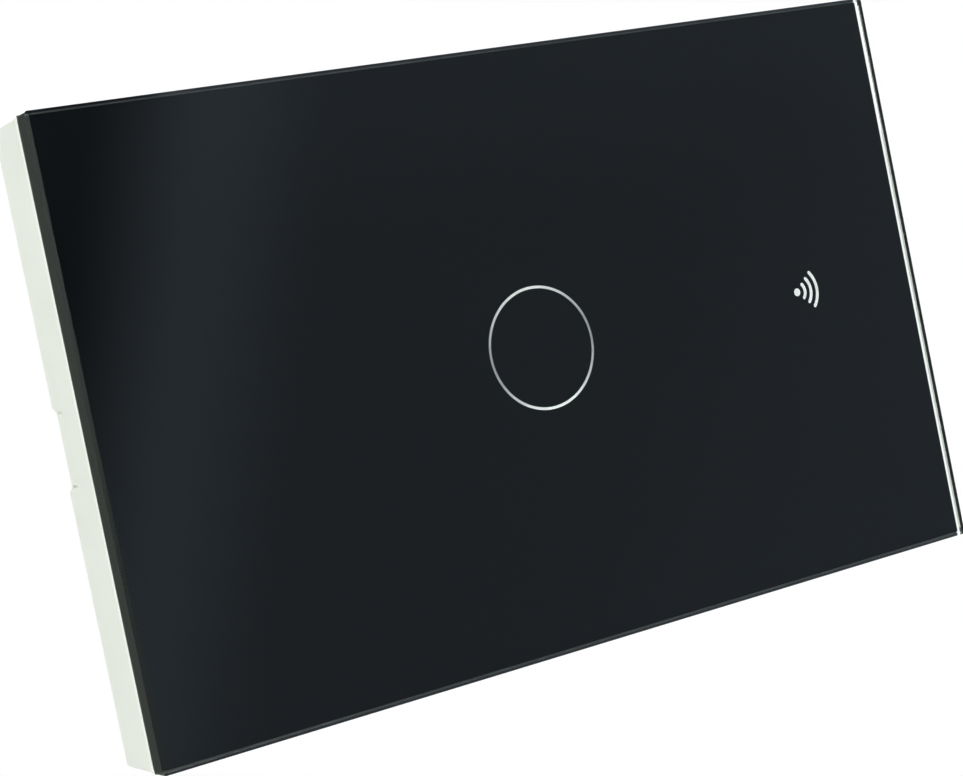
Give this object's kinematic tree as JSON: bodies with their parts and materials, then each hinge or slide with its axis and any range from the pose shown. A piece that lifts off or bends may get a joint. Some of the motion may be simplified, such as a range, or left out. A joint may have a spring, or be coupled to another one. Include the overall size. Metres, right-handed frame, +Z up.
{
  "type": "touch light switch",
  "caption": "Flush wall switch with a black glass touch panel, a thin ring and a signal icon, over a base with boards, relay and screw terminals.",
  "frame": {"origin": "on the wall plane, midway between the two slots for the wall box screws", "axes": "+Z up as installed, along the plate's long side; -Y out of the glass into the room; +X to the right as seen from the room"},
  "size_m": [0.072, 0.0371, 0.118],
  "materials": {
    "clear_glass": "polished face, ground edges",
    "black_ink": "screen print behind glass",
    "silver_ink": "screen print behind glass",
    "white_plastic": "fine satin moulding",
    "grey_plastic": "satin moulding",
    "black_plastic": "satin moulding",
    "green_plastic": "satin moulding",
    "blue_plastic": "smooth",
    "yellow_plastic": "smooth",
    "clear_plastic": "polished",
    "tape_foam": "black foam tape",
    "board": "solder mask",
    "steel": "zinc plated",
    "spring_steel": "plain wire",
    "brass_metal": "plain",
    "tinned": "tinned",
    "copper_coil": "enamelled wire",
    "ferrite": "sintered",
    "led_body": "moulded",
    "film": "thin sheet"
  },
  "bodies": {
    "base": {"mounting_plate": "steel", "base_frame": "white_plastic", "rear_housing": "white_plastic", "housing_screws": "steel", "touch_board": "board", "touch_board_screws": "steel", "touch_spring": "spring_steel", "touch_chip": "black_plastic", "ring_leds": "led_body", "icon_led": "led_body", "radio_module": "board", "radio_shield": "tinned", "pin_header": "black_plastic", "header_socket": "black_plastic", "power_board": "board", "power_board_screws": "steel", "insulation_sheet": "film", "transformer_bobbin": "black_plastic", "transformer_core": "ferrite", "transformer_winding": "yellow_plastic", "line_capacitor": "yellow_plastic", "bulk_capacitors": "black_plastic", "fuse": "grey_plastic", "varistor": "blue_plastic", "rectifier": "black_plastic", "supply_chip": "black_plastic", "relay_case": "black_plastic", "relay_base": "black_plastic", "relay_yoke": "steel", "relay_bobbin": "white_plastic", "relay_coil": "copper_coil", "relay_fixed_contact": "brass_metal", "terminal_block": "green_plastic", "terminal_bars": "brass_metal"},
    "front_panel": {"glass_plate": "clear_glass", "back_print": "black_ink", "ring_print": "silver_ink", "icon_print": "silver_ink", "glass_tape": "tape_foam", "panel_frame": "white_plastic", "snap_hooks": "white_plastic", "ring_light_guide": "clear_plastic", "icon_light_guide": "clear_plastic"},
    "armature": {"relay_armature": "steel"},
    "clamp_screw_1": {"terminal_screw_1": "steel"},
    "clamp_cage_1": {"terminal_cage_1": "brass_metal"},
    "clamp_screw_2": {"terminal_screw_2": "steel"},
    "clamp_cage_2": {"terminal_cage_2": "brass_metal"},
    "clamp_screw_3": {"terminal_screw_3": "steel"},
    "clamp_cage_3": {"terminal_cage_3": "brass_metal"}
  },
  "joints": [
    {"name": "panel_lift", "type": "slide", "parent": "base", "child": "front_panel", "axis": [0, -1, 0], "range_m": [0, 0.02], "deforming": ["touch_spring", "snap_hooks"]},
    {"name": "relay_pull_in", "type": "hinge", "parent": "base", "child": "armature", "pos_m": [-0.0094, 0.02105, -0.0031], "axis": [1, 0, 0], "range_deg": [0, 4], "stiffness_Nm_per_rad": 0.003, "springref_deg": -17.19},
    {"name": "clamp_turn_1", "type": "hinge", "parent": "base", "child": "clamp_screw_1", "pos_m": [-0.01, 0.0216, -0.024], "axis": [0, -1, 0], "range_deg": [0, 1800]},
    {"name": "clamp_rise_1", "type": "slide", "parent": "base", "child": "clamp_cage_1", "axis": [0, 1, 0], "range_m": [0, 0.0025]},
    {"name": "clamp_turn_2", "type": "hinge", "parent": "base", "child": "clamp_screw_2", "pos_m": [0, 0.0216, -0.024], "axis": [0, -1, 0], "range_deg": [0, 1800]},
    {"name": "clamp_rise_2", "type": "slide", "parent": "base", "child": "clamp_cage_2", "axis": [0, 1, 0], "range_m": [0, 0.0025]},
    {"name": "clamp_turn_3", "type": "hinge", "parent": "base", "child": "clamp_screw_3", "pos_m": [0.01, 0.0216, -0.024], "axis": [0, -1, 0], "range_deg": [0, 1800]},
    {"name": "clamp_rise_3", "type": "slide", "parent": "base", "child": "clamp_cage_3", "axis": [0, 1, 0], "range_m": [0, 0.0025]}
  ],
  "couplings": [
    {"joint": "clamp_turn_1", "follows": "clamp_rise_1", "rad_per_m": 12566},
    {"joint": "clamp_turn_2", "follows": "clamp_rise_2", "rad_per_m": 12566},
    {"joint": "clamp_turn_3", "follows": "clamp_rise_3", "rad_per_m": 12566}
  ]
}
